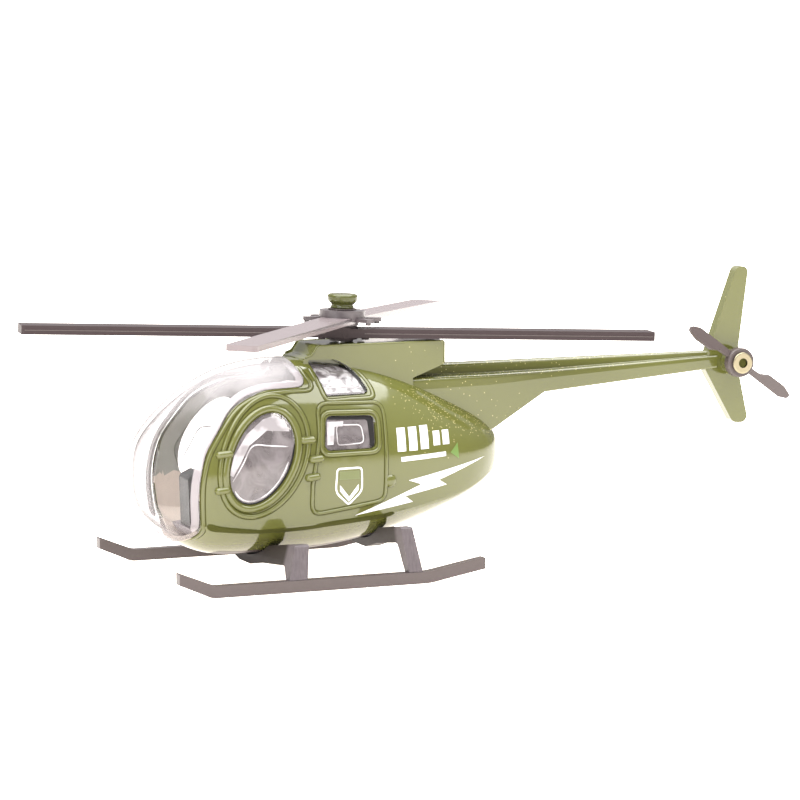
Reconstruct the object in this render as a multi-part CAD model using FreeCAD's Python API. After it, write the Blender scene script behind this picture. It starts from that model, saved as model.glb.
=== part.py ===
import FreeCAD, Part
import os
from math import cos, pi, sin, tan

from FreeCAD import Vector

# Toy helicopter, millimetres. +X is the nose, +Y the helicopter's left side, +Z up.
# Parts are drawn with X = 0 on the rotor mast and Z = 0 on the ground, then moved
# along X so that the origin is the bottom centre of the whole toy.
FRAME_SHIFT_X = 17.66

# Cabin: an egg with a crease low on each side.
NOSE_X = 43.75
NOSE_Z = 24.4
TAIL_OF_CABIN_X = -33.6
TAIL_OF_CABIN_Z = 21.7
WIDEST_X = 12.0
CABIN_HALF_WIDTH = 15.9
WALL = 1.4
PLAN_POWER_FRONT = 3.0
PLAN_POWER_REAR = 2.0
ROOF_POWER = 2.3
WIDEST_HEIGHT = 0.41
CREASE_HEIGHT = 0.18
CREASE_WIDTH = 0.935
# Stations of the cabin: x, underside, roof.
CABIN_STATIONS = [
    (-32.9, 19.1, 25.7),
    (-29.5, 16.2, 29.1),
    (-22.0, 12.0, 33.2),
    (-13.0, 8.6, 37.5),
    (-3.0, 6.1, 40.8),
    (8.0, 4.6, 42.5),
    (19.9, 4.4, 42.3),
    (29.8, 5.0, 39.1),
    (35.2, 7.1, 35.5),
    (39.1, 9.6, 32.0),
    (41.8, 14.0, 28.6),
    (43.2, 19.6, 26.1),
]

# Side windows: an oval in the front door, then outlines of (x, z, corner radius).
FRONT_WINDOW_CENTRE = (22.7, 24.8)
FRONT_WINDOW_LONG = 9.6
FRONT_WINDOW_SHORT = 6.0
FRONT_WINDOW_TILT = 27.0
REAR_WINDOW = [(9.2, 32.5, 1.4), (-1.5, 32.1, 1.4), (-1.3, 25.7, 1.4), (10.1, 25.7, 1.4)]
ROOF_WINDOW = [(9.4, 42.5, 0.3), (3.6, 42.4, 3.0), (0.2, 40.6, 3.0), (-1.6, 35.9, 1.0), (8.4, 35.9, 1.0)]

# Belly plate, its two screws, and the cabin floor.
BELLY_PLATE_REAR = -12.8
BELLY_PLATE_FRONT = 29.0
BELLY_PLATE_HALF = 6.5
REAR_SCREW_X = -9.8
FRONT_SCREW_X = 25.0
SCREW_RADIUS = 0.9
SCREW_HEAD_RADIUS = 1.75
SCREW_HEAD_HEIGHT = 0.6
SEAT_OF_HEAD = 0.6
POST_RADIUS = 2.3
FLOOR_TOP = 10.2

# Engine cowl on the roof.
COWL_HALF_WIDTH = 5.5
COWL_TOP = 45.3
COWL_REAR_X = -20.0

# Tail boom stations: x, half width, underside, shoulder, shoulder radius.
BOOM_STATIONS = [
    (-10.0, 5.5, 22.0, 38.0, 1.6),
    (-31.0, 4.2, 26.2, 37.9, 1.4),
    (-43.4, 3.4, 33.5, 38.0, 1.0),
    (-83.5, 1.7, 36.5, 39.2, 0.5),
]
BOOM_RIDGE_Z = 40.1
BOOM_RIDGE_SHARE = 0.26
BOOM_RIDGE_LEAST = 0.35
BOOM_RIDGE_FLARE = 0.25
FIN_HALF_THICKNESS = 1.2

# Main rotors.
MAST_LEAN_BACK = 1.9
MAST_LEAN_LEFT = 0.57
PIN_RADIUS = 1.0
RUNNING_GAP = 0.08
ROTOR_RADIUS = 64.0
BLADE_CHORD = 6.3
LOWER_BLADE_Z = 47.1
LOWER_BLADE_THICK = 1.8
UPPER_BLADE_Z = 49.6
UPPER_BLADE_THICK = 1.15
UPPER_DROOP = 0.75
LOWER_HEADING = -10.4
UPPER_HEADING = 50.6

# Tail rotor.
TAIL_AXIS_X = -87.0
TAIL_AXIS_Z = 37.9
TAIL_ROTOR_RADIUS = 13.76
TAIL_HEADING = 34.8

# Landing gear.
SKID_OUTER_Y = 24.1
SKID_WIDTH = 2.0
SKID_HEIGHT = 2.3

FIT_GAP = 0.12
DEEP = 60.0
# How much further than the gap a corner moves when an outline shrinks evenly.
CORNER_ALLOWANCE = 1.35


def rounded_outline(corners, place):
    """Closed wire through 2-D corners (u, v, radius); place turns (u, v) into a point."""
    count = len(corners)
    starts = []
    ends = []
    middles = []
    for index in range(count):
        u0, v0, _ = corners[index - 1]
        u1, v1, radius = corners[index]
        u2, v2, _ = corners[(index + 1) % count]
        corner = Vector(u1, v1, 0)
        back = (Vector(u0, v0, 0) - corner).normalize()
        ahead = (Vector(u2, v2, 0) - corner).normalize()
        half = back.getAngle(ahead) / 2
        reach = radius / tan(half)
        bisector = (back + ahead).normalize()
        starts.append(corner + back * reach)
        ends.append(corner + ahead * reach)
        middles.append(corner + bisector * (radius / sin(half) - radius))
    edges = []
    for index in range(count):
        following = (index + 1) % count
        if corners[index][2] > 0:
            arc = Part.Arc(*[place(p.x, p.y) for p in (starts[index], middles[index], ends[index])])
            edges.append(arc.toShape())
        line_start = place(ends[index].x, ends[index].y)
        line_end = place(starts[following].x, starts[following].y)
        if line_start.distanceToPoint(line_end) > 1e-6:
            edges.append(Part.LineSegment(line_start, line_end).toShape())
    return Part.Wire(edges)


def side_prism(corners, y_low, y_high):
    """Solid from a side-view outline (x, z, radius) between two values of y."""
    wire = rounded_outline(corners, lambda u, v: Vector(u, y_low, v))
    return Part.Face(wire).extrude(Vector(0, y_high - y_low, 0))


def front_prism(corners, x_low, x_high):
    """Solid from a front-view outline (y, z, radius) between two values of x."""
    wire = rounded_outline(corners, lambda u, v: Vector(x_low, u, v))
    return Part.Face(wire).extrude(Vector(x_high - x_low, 0, 0))


def plan_prism(corners, z_low, z_high):
    """Solid from a plan outline (x, y, radius) between two values of z."""
    wire = rounded_outline(corners, lambda u, v: Vector(u, v, z_low))
    return Part.Face(wire).extrude(Vector(0, 0, z_high - z_low))


def box(x_low, x_high, y_low, y_high, z_low, z_high):
    return Part.makeBox(x_high - x_low, y_high - y_low, z_high - z_low, Vector(x_low, y_low, z_low))


def disc(radius, z_low, z_high, x=0.0, y=0.0):
    return Part.makeCylinder(radius, z_high - z_low, Vector(x, y, z_low), Vector(0, 0, 1))


def side_disc(radius, y_low, y_high, x, z):
    return Part.makeCylinder(radius, y_high - y_low, Vector(x, y_low, z), Vector(0, 1, 0))


def mirrored(shape):
    """The same shape on the other side of the centre plane."""
    return shape.mirror(Vector(0, 0, 0), Vector(0, 1, 0))


def half_width_at(x, inset):
    """Plan of the cabin: half its width at station x."""
    if x >= WIDEST_X:
        length = NOSE_X - inset - WIDEST_X
        power = PLAN_POWER_FRONT
    else:
        length = WIDEST_X - TAIL_OF_CABIN_X - inset
        power = PLAN_POWER_REAR
    along = min(abs(x - WIDEST_X) / length, 0.995)
    return (CABIN_HALF_WIDTH - inset) * (1 - along ** power) ** (1 / power)


def crease_strength(x):
    """How sharp the crease is: full along the cabin, none near its two ends."""
    front = (40.0 - x) / 6.0
    rear = (x + 28.0) / 18.0
    return max(0.0, min(1.0, front, rear))


def cabin_section(x, low, high, inset):
    """Section of the cabin at station x: a roof curve and a belly curve that meet at the crease."""
    low = low + inset
    high = high - inset
    width = half_width_at(x, inset)
    crease_z = low + CREASE_HEIGHT * (high - low)
    crease_y = width * CREASE_WIDTH
    wide_z = low + WIDEST_HEIGHT * (high - low)
    left = []
    side_steps = 3
    for step in range(side_steps):
        part = 1 - step / side_steps
        left.append((width - (width - crease_y) * part ** 2, wide_z - (wide_z - crease_z) * part))
    roof_steps = 8
    for step in range(roof_steps):
        angle = pi / 2 * step / roof_steps
        y = width * cos(angle) ** (2 / ROOF_POWER)
        left.append((y, wide_z + (high - wide_z) * sin(angle) ** (2 / ROOF_POWER)))
    roof_points = [Vector(x, y, z) for y, z in left]
    roof_points.append(Vector(x, 0, high))
    roof_points += [Vector(x, -y, z) for y, z in reversed(left)]
    sharp = crease_strength(x)
    belly_points = []
    belly_steps = 16
    for step in range(belly_steps + 1):
        angle = pi * step / belly_steps
        across = -cos(angle)
        drop = sharp * (1 - across ** 2) + (1 - sharp) * sin(angle)
        belly_points.append(Vector(x, crease_y * across, crease_z - (crease_z - low) * drop))
    edges = []
    for points in (roof_points, belly_points):
        curve = Part.BSplineCurve()
        curve.interpolate(points)
        edges.append(curve.toShape())
    return Part.Wire(edges)


def cabin_egg(inset):
    """Solid egg of the cabin, inset from the outer skin."""
    sections = [Part.Vertex(Vector(TAIL_OF_CABIN_X + inset, 0, TAIL_OF_CABIN_Z))]
    for x, low, high in CABIN_STATIONS:
        if TAIL_OF_CABIN_X + inset + 0.4 < x < NOSE_X - inset - 0.3 and high - low > 2 * inset + 2:
            sections.append(cabin_section(x, low, high, inset))
    sections.append(Part.Vertex(Vector(NOSE_X - inset, 0, NOSE_Z)))
    return Part.makeLoft(sections, True, False)


# Side-view outlines (x, z, corner radius).

def canopy_outline(grow):
    """Everything in front of the windscreen's edge; grow moves the edge rearward."""
    return [
        (12.6 - grow, DEEP, 0),
        (12.6 - grow, 42.0, 2.0),
        (11.4 - grow, 38.0 - grow, 1.6),
        (20.8, 37.6 - grow, 6.0),
        (27.6 - grow, 34.6, 8.0),
        (33.6 - grow, 26.4, 8.0),
        (35.1 - grow, 17.5, 8.0),
        (34.4 - grow, 9.9 - grow, 2.0),
        (36.6 - grow, 7.2 - grow, 0.5),
        (36.6 - grow, 0, 0),
        (DEEP, 0, 0),
        (DEEP, DEEP, 0),
    ]


def shrunk_outline(corners, gap):
    """Outline moved towards its middle by about gap."""
    middle_u = sum(c[0] for c in corners) / len(corners)
    middle_v = sum(c[1] for c in corners) / len(corners)
    result = []
    for u, v, radius in corners:
        away = Vector(u - middle_u, v - middle_v, 0)
        scale = 1 - gap * CORNER_ALLOWANCE / away.Length
        result.append((middle_u + away.x * scale, middle_v + away.y * scale, max(radius - gap, 0.2)))
    return result


def front_window_prism(gap, y_low, y_high):
    """Leaning oval of the front door's window."""
    ellipse = Part.Ellipse(Vector(0, 0, 0), FRONT_WINDOW_LONG - gap, FRONT_WINDOW_SHORT - gap)
    wire = Part.Wire([ellipse.toShape()])
    wire.rotate(Vector(0, 0, 0), Vector(1, 0, 0), 90)
    lean = 90 - FRONT_WINDOW_TILT
    wire.rotate(Vector(0, 0, 0), Vector(0, 1, 0), lean)
    wire.translate(Vector(FRONT_WINDOW_CENTRE[0], y_low, FRONT_WINDOW_CENTRE[1]))
    return Part.Face(wire).extrude(Vector(0, y_high - y_low, 0))


def window_prisms(gap, y_low, y_high):
    """The three side windows of one side, smaller by gap all round."""
    return [
        front_window_prism(gap, y_low, y_high),
        side_prism(shrunk_outline(REAR_WINDOW, gap), y_low, y_high),
        side_prism(shrunk_outline(ROOF_WINDOW, gap), y_low, y_high),
    ]


def cowl():
    """Engine cowl: flat sided, with an S-shaped front and a sloping lower rear corner."""
    outline = [
        (10.4, 34.0, 0),
        (10.4, 42.6, 0.6),
        (8.6, 43.2, 1.0),
        (7.2, COWL_TOP - 0.1, 1.0),
        (COWL_REAR_X, COWL_TOP, 0.5),
        (COWL_REAR_X, 40.6, 0.3),
        (-13.1, 38.0, 0),
        (-13.1, 34.0, 0),
    ]
    return side_prism(outline, -COWL_HALF_WIDTH, COWL_HALF_WIDTH)


def boom_section(x, half, low, shoulder, radius):
    """Boom section: a raised spine, a rounded shoulder on each side, and slightly leaning sides."""
    spine = BOOM_RIDGE_SHARE * half + BOOM_RIDGE_LEAST
    side = [
        (spine, BOOM_RIDGE_Z, spine * 0.6),
        (spine + BOOM_RIDGE_FLARE, shoulder, 0.15),
        (half * 0.97, shoulder - 0.15, radius * 0.6),
        (half, shoulder - radius * 1.6, radius * 0.5),
        (half * 0.9, low, 0.5),
    ]
    corners = side + [(-u, v, corner) for u, v, corner in reversed(side)]
    return rounded_outline(corners, lambda u, v: Vector(x, u, v))


def boom():
    return Part.makeLoft([boom_section(*station) for station in BOOM_STATIONS], True, True)


def upper_fin():
    outline = [(-80.4, 36.8, 0), (-88.0, 57.4, 1.4), (-90.7, 57.4, 1.2), (-88.6, 41.0, 1.0), (-88.6, 36.8, 0)]
    return side_prism(outline, -FIN_HALF_THICKNESS, FIN_HALF_THICKNESS)


def lower_fin():
    outline = [
        (-80.6, 39.0, 0),
        (-80.6, 36.9, 0.5),
        (-87.6, 24.9, 1.6),
        (-91.2, 24.9, 1.4),
        (-88.2, 38.0, 0.5),
        (-87.4, 39.0, 0),
    ]
    return side_prism(outline, -FIN_HALF_THICKNESS, FIN_HALF_THICKNESS)


def tail_boss():
    """Stand-off and peg that carry the tail rotor."""
    stand_off = side_disc(2.5, 0.0, 3.3, TAIL_AXIS_X, TAIL_AXIS_Z)
    peg = side_disc(0.95, 3.0, 5.9, TAIL_AXIS_X, TAIL_AXIS_Z)
    return stand_off.fuse(peg)


def lean(shape):
    """Tilts a piece with the rotor mast about the mast's foot."""
    shape = shape.copy()
    foot = Vector(0, 0, LOWER_BLADE_Z)
    shape.rotate(foot, Vector(0, 1, 0), -MAST_LEAN_BACK)
    shape.rotate(foot, Vector(1, 0, 0), MAST_LEAN_LEFT)
    return shape


def belly_cutout(gap):
    """Plan of the hole in the belly that the plate closes."""
    rear = BELLY_PLATE_REAR + gap
    front = BELLY_PLATE_FRONT - gap
    half = BELLY_PLATE_HALF - gap
    return [(rear, -half, 2.0), (front, -half, 2.0), (front, half, 2.0), (rear, half, 2.0)]


def body_casting(outer, inner):
    """Die-cast body: cabin shell, cowl, tail boom and fins in one piece."""
    solid = outer.fuse([cowl(), boom(), upper_fin(), lower_fin(), tail_boss()])
    solid = solid.cut(inner)
    solid = solid.cut(side_prism(canopy_outline(0.0), -DEEP, DEEP))
    for prism in window_prisms(0.0, 3.0, DEEP):
        solid = solid.cut(prism)
        solid = solid.cut(mirrored(prism))
    solid = solid.cut(plan_prism(belly_cutout(0.0), -5.0, 14.0))
    post = disc(POST_RADIUS, 9.8, 39.0, REAR_SCREW_X).common(outer)
    solid = solid.fuse(post)
    solid = solid.cut(disc(SCREW_RADIUS, 0.0, 16.0, REAR_SCREW_X))
    solid = solid.cut(lean(disc(PIN_RADIUS + 0.05, 30.0, 60.0)))
    return solid.removeSplitter()


def canopy(outer):
    """Clear windscreen bubble, flush with the casting."""
    shell = outer.cut(cabin_egg(1.2))
    return shell.common(side_prism(canopy_outline(-FIT_GAP), -DEEP, DEEP))


def window_insert(face, inner):
    """Clear moulding of one side: three panes joined by a strip behind the casting."""
    pads = face.cut(inner)
    panes = [pads.common(prism) for prism in window_prisms(0.25, 3.0, DEEP)]
    behind = cabin_egg(WALL + 0.1).cut(cabin_egg(WALL + 0.9))
    strip_outline = [
        (31.0, 24.0, 3.0), (27.0, 12.8, 3.0), (16.0, 12.8, 3.0), (12.0, 23.4, 3.0),
        (-3.4, 23.4, 2.0), (-3.4, 37.0, 3.0), (6.0, 38.5, 3.0), (22.0, 36.4, 4.0),
    ]
    strip = behind.common(side_prism(strip_outline, 3.0, DEEP))
    bridge = cabin_egg(WALL - 0.1).cut(cabin_egg(WALL + 0.4))
    joins = [bridge.common(prism) for prism in window_prisms(0.6, 3.0, DEEP)]
    return strip.fuse(panes + joins).removeSplitter()


def belly_plate(outer):
    """Dark plate that closes the belly, flush with it."""
    plate = outer.cut(cabin_egg(1.1)).common(plan_prism(belly_cutout(FIT_GAP), 0.0, 14.0))
    for x in (REAR_SCREW_X, FRONT_SCREW_X):
        plate = plate.cut(disc(SCREW_RADIUS + 0.1, 0.0, 14.0, x))
        plate = plate.cut(disc(SCREW_HEAD_RADIUS + 0.15, 0.0, underside_at(x) + SEAT_OF_HEAD, x))
    return plate


def underside_at(x):
    """Height of the belly on the centre plane at station x."""
    for first, second in zip(CABIN_STATIONS, CABIN_STATIONS[1:]):
        if first[0] <= x <= second[0]:
            part = (x - first[0]) / (second[0] - first[0])
            return first[1] + part * (second[1] - first[1])
    raise ValueError(x)


def belly_screws():
    """Two pan-head screws that hold the plate."""
    screws = []
    for x in (REAR_SCREW_X, FRONT_SCREW_X):
        top = underside_at(x) + SEAT_OF_HEAD - 0.03
        low = top - SCREW_HEAD_HEIGHT
        head = disc(SCREW_HEAD_RADIUS, low, top, x)
        slot = box(x - 2.0, x + 2.0, -0.2, 0.2, low - 0.1, low + 0.3)
        shank = disc(SCREW_RADIUS - 0.05, top - 0.1, top + 6.0, x)
        screws.append(head.fuse(shank).cut(slot))
    return Part.makeCompound(screws)


def cross_member(centre_bottom, x_bottom, width_bottom, x_top, width_top, strut_top, inner_bottom):
    """Bowed beam under the belly with a leaning strut at each end."""
    half = [
        (9.0, centre_bottom + 0.5 * (inner_bottom - centre_bottom), 6.0),
        (19.6, inner_bottom, 0.8),
        (21.9, SKID_HEIGHT, 0.1),
        (24.0, SKID_HEIGHT, 0.1),
        (22.5, strut_top, 0.6),
        (19.3, strut_top - 0.3, 1.5),
    ]
    outline = [(-y, z, radius) for y, z, radius in reversed(half)]
    outline += [(-3.0, centre_bottom, 3.0), (3.0, centre_bottom, 3.0)]
    outline += half
    outline += [(6.0, strut_top - 2.6, 1.0), (-6.0, strut_top - 2.6, 1.0)]
    slab = front_prism(outline, x_bottom - 10.0, x_bottom + 10.0)
    low = min(SKID_HEIGHT, centre_bottom)
    side = [
        (x_bottom - width_bottom / 2, low - 0.01, 0),
        (x_bottom + width_bottom / 2, low - 0.01, 0),
        (x_top + width_top / 2, strut_top + 0.01, 0),
        (x_top - width_top / 2, strut_top + 0.01, 0),
    ]
    return slab.common(side_prism(side, -DEEP, DEEP))


def front_cross_member(grown):
    member = cross_member(
        centre_bottom=2.4, x_bottom=18.75, width_bottom=3.7, x_top=17.5, width_top=2.9,
        strut_top=8.9, inner_bottom=4.6,
    )
    return member.cut(grown)


def rear_cross_member(grown):
    member = cross_member(
        centre_bottom=4.3, x_bottom=-5.8, width_bottom=2.95, x_top=-4.4, width_top=2.4,
        strut_top=11.1, inner_bottom=7.6,
    )
    return member.cut(grown)


def left_skid():
    """Flat runner with its toe bent up and its heel curving up."""
    rise_front = 2.9
    rise_rear = 2.1
    front = 43.1
    rear = -20.6
    outline = [
        (rear, rise_rear, 0),
        (-8.6, 0, 16.0),
        (36.4, 0, 5.0),
        (front, rise_front, 0),
        (front, rise_front + SKID_HEIGHT, 0.2),
        (35.8, SKID_HEIGHT, 4.0),
        (-8.6, SKID_HEIGHT, 16.0),
        (rear, rise_rear + SKID_HEIGHT, 0.2),
    ]
    return side_prism(outline, SKID_OUTER_Y - SKID_WIDTH, SKID_OUTER_Y)


def interior_floor():
    """Cabin floor with the bulkhead behind the rear bench."""
    room = cabin_egg(WALL + 1.0)
    floor = room.common(box(-7.0, 33.5, -DEEP, DEEP, 8.9, FLOOR_TOP))
    bulkhead = room.common(box(-7.0, -5.8, -DEEP, DEEP, 9.0, 31.0))
    boss = disc(POST_RADIUS, 6.2, 9.5, FRONT_SCREW_X)
    floor = floor.fuse([bulkhead, boss])
    return floor.cut(disc(SCREW_RADIUS, 4.0, 12.0, FRONT_SCREW_X))


def seat(x, y, half):
    """Bucket seat: a cushion and a raked back in one moulding."""
    side = [
        (x - 3.4, FLOOR_TOP + 0.05, 0.3),
        (x + 5.2, FLOOR_TOP + 0.05, 0.3),
        (x + 5.6, FLOOR_TOP + 4.6, 1.2),
        (x - 0.4, FLOOR_TOP + 3.8, 1.2),
        (x - 3.0, FLOOR_TOP + 17.5, 0.9),
        (x - 5.2, FLOOR_TOP + 17.2, 0.9),
    ]
    return side_prism(side, y - half, y + half)


def instrument_panel():
    """Pedestal and hooded panel between the pilots' feet."""
    side = [
        (29.6, FLOOR_TOP + 0.05, 0.3),
        (33.0, FLOOR_TOP + 0.05, 0.3),
        (33.4, FLOOR_TOP + 10.0, 1.2),
        (30.4, FLOOR_TOP + 11.4, 0.8),
        (29.4, FLOOR_TOP + 7.0, 0.5),
    ]
    return side_prism(side, -2.6, 2.6)


def blade_plan(root, tip, chord, corner):
    half = chord / 2
    return [(root, -half, 0), (tip, -half, corner), (tip, half, corner), (root, half, 0)]


def bar_rotor(z, thickness, droop, corner):
    """Two blades on one line, each drooping from the hub."""
    low = z - thickness / 2
    high = z + thickness / 2
    blade = plan_prism(blade_plan(0.0, ROTOR_RADIUS, BLADE_CHORD, corner), low, high)
    blade.rotate(Vector(0, 0, z), Vector(0, 1, 0), droop)
    other = blade.copy()
    other.rotate(Vector(0, 0, z), Vector(0, 0, 1), 180)
    return blade.fuse(other)


def lower_rotor():
    """Lower two-blade rotor with its hub and four small lugs under the blade roots."""
    rotor = bar_rotor(LOWER_BLADE_Z, LOWER_BLADE_THICK, 0.0, 0.6)
    rotor = rotor.fuse(disc(3.2, 45.85, 48.3))
    lugs = [disc(0.75, 45.85, 47.0, x, y) for x in (-4.4, 4.4) for y in (-2.0, 2.0)]
    rotor = rotor.fuse(lugs)
    rotor = rotor.cut(disc(PIN_RADIUS + RUNNING_GAP, 40.0, 60.0))
    rotor.rotate(Vector(0, 0, 0), Vector(0, 0, 1), LOWER_HEADING)
    return lean(rotor.removeSplitter())


def upper_rotor():
    """Upper two-blade rotor with a drum hub and a thin link plate on each side."""
    rotor = bar_rotor(UPPER_BLADE_Z, UPPER_BLADE_THICK, UPPER_DROOP, 1.2)
    rotor = rotor.fuse([disc(4.6, 49.5, 51.55), disc(3.4, 48.55, 49.8)])
    link = plan_prism([(3.5, -1.0, 0), (7.8, -1.0, 0.4), (7.8, 1.0, 0.4), (3.5, 1.0, 0)], 49.4, 50.1)
    link = link.fuse(disc(0.55, 48.9, 49.8, 7.0))
    links = []
    for heading in (65.0, 115.0, 245.0, 295.0):
        turned = link.copy()
        turned.rotate(Vector(0, 0, 0), Vector(0, 0, 1), heading)
        links.append(turned)
    rotor = rotor.fuse(links)
    rotor = rotor.cut(disc(PIN_RADIUS + RUNNING_GAP, 40.0, 60.0))
    rotor.rotate(Vector(0, 0, 0), Vector(0, 0, 1), UPPER_HEADING)
    return lean(rotor.removeSplitter())


def mast_pin():
    return lean(disc(PIN_RADIUS, 37.4, 53.2))


def push_nut():
    """Spring nut that keeps the pin in the roof."""
    nut = disc(2.6, 38.1, 38.7).cut(disc(PIN_RADIUS + 0.03, 38.0, 42.0))
    return lean(nut)


def hub_washer(z_low, z_high, radius):
    ring = disc(radius, z_low, z_high).cut(disc(PIN_RADIUS + 0.05, z_low - 1, z_high + 1))
    return lean(ring)


def mast_knob():
    """Mushroom knob pressed onto the top of the pin."""
    profile = [
        (0, 51.9, 0),
        (2.5, 51.9, 0.2),
        (2.05, 52.6, 0.5),
        (3.0, 53.3, 0.7),
        (3.0, 54.75, 0.6),
        (0, 54.75, 0),
    ]
    wire = rounded_outline(profile, lambda u, v: Vector(u, 0, v))
    knob = Part.Face(wire).revolve(Vector(0, 0, 0), Vector(0, 0, 1), 360)
    knob = knob.cut(disc(PIN_RADIUS + 0.02, 50.0, 53.25))
    return lean(knob)


def tail_blade():
    """One blade of the tail rotor along +X: a stem, then a paddle with one straight edge."""
    outline = [
        (1.5, 0.7, 0),
        (11.8, 0.9, 2.5),
        (TAIL_ROTOR_RADIUS, 0.1, 0.5),
        (TAIL_ROTOR_RADIUS, -0.9, 0.6),
        (11.6, -1.6, 2.0),
        (7.4, -1.6, 1.2),
        (5.6, -0.6, 1.2),
        (1.5, -0.5, 0),
    ]
    thick = 0.9
    blade = side_prism(outline, -thick / 2, thick / 2)
    blade.rotate(Vector(0, 0, 0), Vector(1, 0, 0), 16)
    return blade


def tail_rotor():
    first = tail_blade()
    second = first.copy()
    second.rotate(Vector(0, 0, 0), Vector(0, 1, 0), 180)
    hub = side_disc(3.05, -1.0, 1.0, 0, 0)
    hub = hub.makeFillet(0.35, [edge for edge in hub.Edges if edge.Closed])
    rotor = hub.fuse([first, second])
    rotor = rotor.cut(side_disc(1.5 + RUNNING_GAP, -3.0, 3.0, 0, 0))
    rotor.rotate(Vector(0, 0, 0), Vector(0, 1, 0), -TAIL_HEADING)
    rotor.translate(Vector(TAIL_AXIS_X, 4.6, TAIL_AXIS_Z))
    return rotor


def tail_rivet():
    """Brass eyelet over the casting's peg; its flange keeps the tail rotor on."""
    shank = side_disc(1.5, 3.35, 6.0, TAIL_AXIS_X, TAIL_AXIS_Z)
    flange = side_disc(2.2, 5.75, 6.35, TAIL_AXIS_X, TAIL_AXIS_Z)
    flange = flange.makeFillet(0.25, [edge for edge in flange.Edges if edge.Closed])
    rivet = shank.fuse(flange)
    return rivet.cut(side_disc(1.0, 3.0, 7.0, TAIL_AXIS_X, TAIL_AXIS_Z))


def export(name, shape):
    shape = shape.copy()
    shape.translate(Vector(FRAME_SHIFT_X, 0, 0))
    shape.exportStep(f"parts/{name}.step")
    return shape


def main():
    os.makedirs("parts", exist_ok=True)
    outer = cabin_egg(0.0)
    inner = cabin_egg(WALL)
    under_gear = cabin_egg(-0.42)
    left_glass = window_insert(cabin_egg(0.4), cabin_egg(WALL + 0.2))
    pieces = {
        "body_casting": body_casting(outer, inner),
        "windscreen": canopy(outer),
        "left_window_insert": left_glass,
        "right_window_insert": mirrored(left_glass),
        "belly_plate": belly_plate(outer),
        "belly_screws": belly_screws(),
        "front_cross_member": front_cross_member(under_gear),
        "rear_cross_member": rear_cross_member(under_gear),
        "left_skid": left_skid(),
        "right_skid": mirrored(left_skid()),
        "interior_floor": interior_floor(),
        "pilot_seat": seat(x=13.5, y=5.4, half=4.2),
        "copilot_seat": seat(x=13.5, y=-5.4, half=4.2),
        "rear_bench": seat(x=0.8, y=0.0, half=8.4),
        "instrument_panel": instrument_panel(),
        "mast_pin": mast_pin(),
        "push_nut": push_nut(),
        "lower_washer": hub_washer(45.43, 45.74, 2.4),
        "lower_rotor": lower_rotor(),
        "upper_rotor": upper_rotor(),
        "upper_washer": hub_washer(51.66, 51.86, 2.8),
        "mast_knob": mast_knob(),
        "tail_rotor": tail_rotor(),
        "tail_rivet": tail_rivet(),
    }
    whole = None
    for name, shape in pieces.items():
        placed = export(name, shape)
        kind = "solids %d" % len(placed.Solids)
        print(name, kind, "valid", placed.isValid(), "volume %.1f" % placed.Volume)
        whole = placed.BoundBox if whole is None else whole.united(placed.BoundBox)
    print("box", whole)


main()
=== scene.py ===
import math

import bpy
from mathutils import Matrix, Vector
from mathutils.bvhtree import BVHTree
from mathutils.geometry import delaunay_2d_cdt


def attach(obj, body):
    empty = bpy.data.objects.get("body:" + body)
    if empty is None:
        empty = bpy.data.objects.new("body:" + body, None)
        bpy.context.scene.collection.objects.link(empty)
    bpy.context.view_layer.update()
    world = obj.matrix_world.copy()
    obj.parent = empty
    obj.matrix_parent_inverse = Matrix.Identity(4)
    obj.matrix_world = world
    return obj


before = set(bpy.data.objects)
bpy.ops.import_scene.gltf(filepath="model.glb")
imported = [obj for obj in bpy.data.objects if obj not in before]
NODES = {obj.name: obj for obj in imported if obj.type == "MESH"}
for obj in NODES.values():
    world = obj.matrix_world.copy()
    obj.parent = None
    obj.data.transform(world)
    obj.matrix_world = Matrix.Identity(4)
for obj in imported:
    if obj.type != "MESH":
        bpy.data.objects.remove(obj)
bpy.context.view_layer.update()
ROOT = "airframe"

# Shapes are drawn in millimetres with X = 0 on the rotor mast, as the CAD is.
MM = 0.001
SHIFT_X = 17.66
SIDE_NAMES = {1: "left", -1: "right"}
BOTH_SIDES = (1, -1)


def place(x, y, z):
    """A point in mast millimetres as a point in the row frame, in metres."""
    return Vector(((x + SHIFT_X) * MM, y * MM, z * MM))


# ---------------------------------------------------------------- materials

def new_material(name):
    """A node material with its tree and its shader."""
    material = bpy.data.materials.new(name)
    material.use_nodes = True
    tree = material.node_tree
    shader = tree.nodes["Principled BSDF"]
    return material, tree, shader


def add(tree, kind, **values):
    """A new shader node with its properties set."""
    node = tree.nodes.new(kind)
    for key, value in values.items():
        setattr(node, key, value)
    return node


def math_node(tree, operation, first, second=None):
    """A maths node; each input is a number or a socket."""
    node = add(tree, "ShaderNodeMath", operation=operation)
    for socket, value in zip(node.inputs, (first, second)):
        if value is None:
            continue
        if isinstance(value, (int, float)):
            socket.default_value = value
        else:
            tree.links.new(value, socket)
    return node.outputs[0]


def mix_colour(tree, factor, first, second):
    """A blend of two colours; each is a tuple or a socket."""
    node = add(tree, "ShaderNodeMix", data_type="RGBA")
    tree.links.new(factor, node.inputs[0])
    for socket, value in ((node.inputs[6], first), (node.inputs[7], second)):
        if isinstance(value, tuple):
            socket.default_value = value
        else:
            tree.links.new(value, socket)
    return node.outputs[2]


def object_position(tree):
    """Position on the object in metres, whole and split into X, Y and Z."""
    coords = add(tree, "ShaderNodeTexCoord")
    split = add(tree, "ShaderNodeSeparateXYZ")
    tree.links.new(coords.outputs["Object"], split.inputs[0])
    return coords.outputs["Object"], split.outputs


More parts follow.
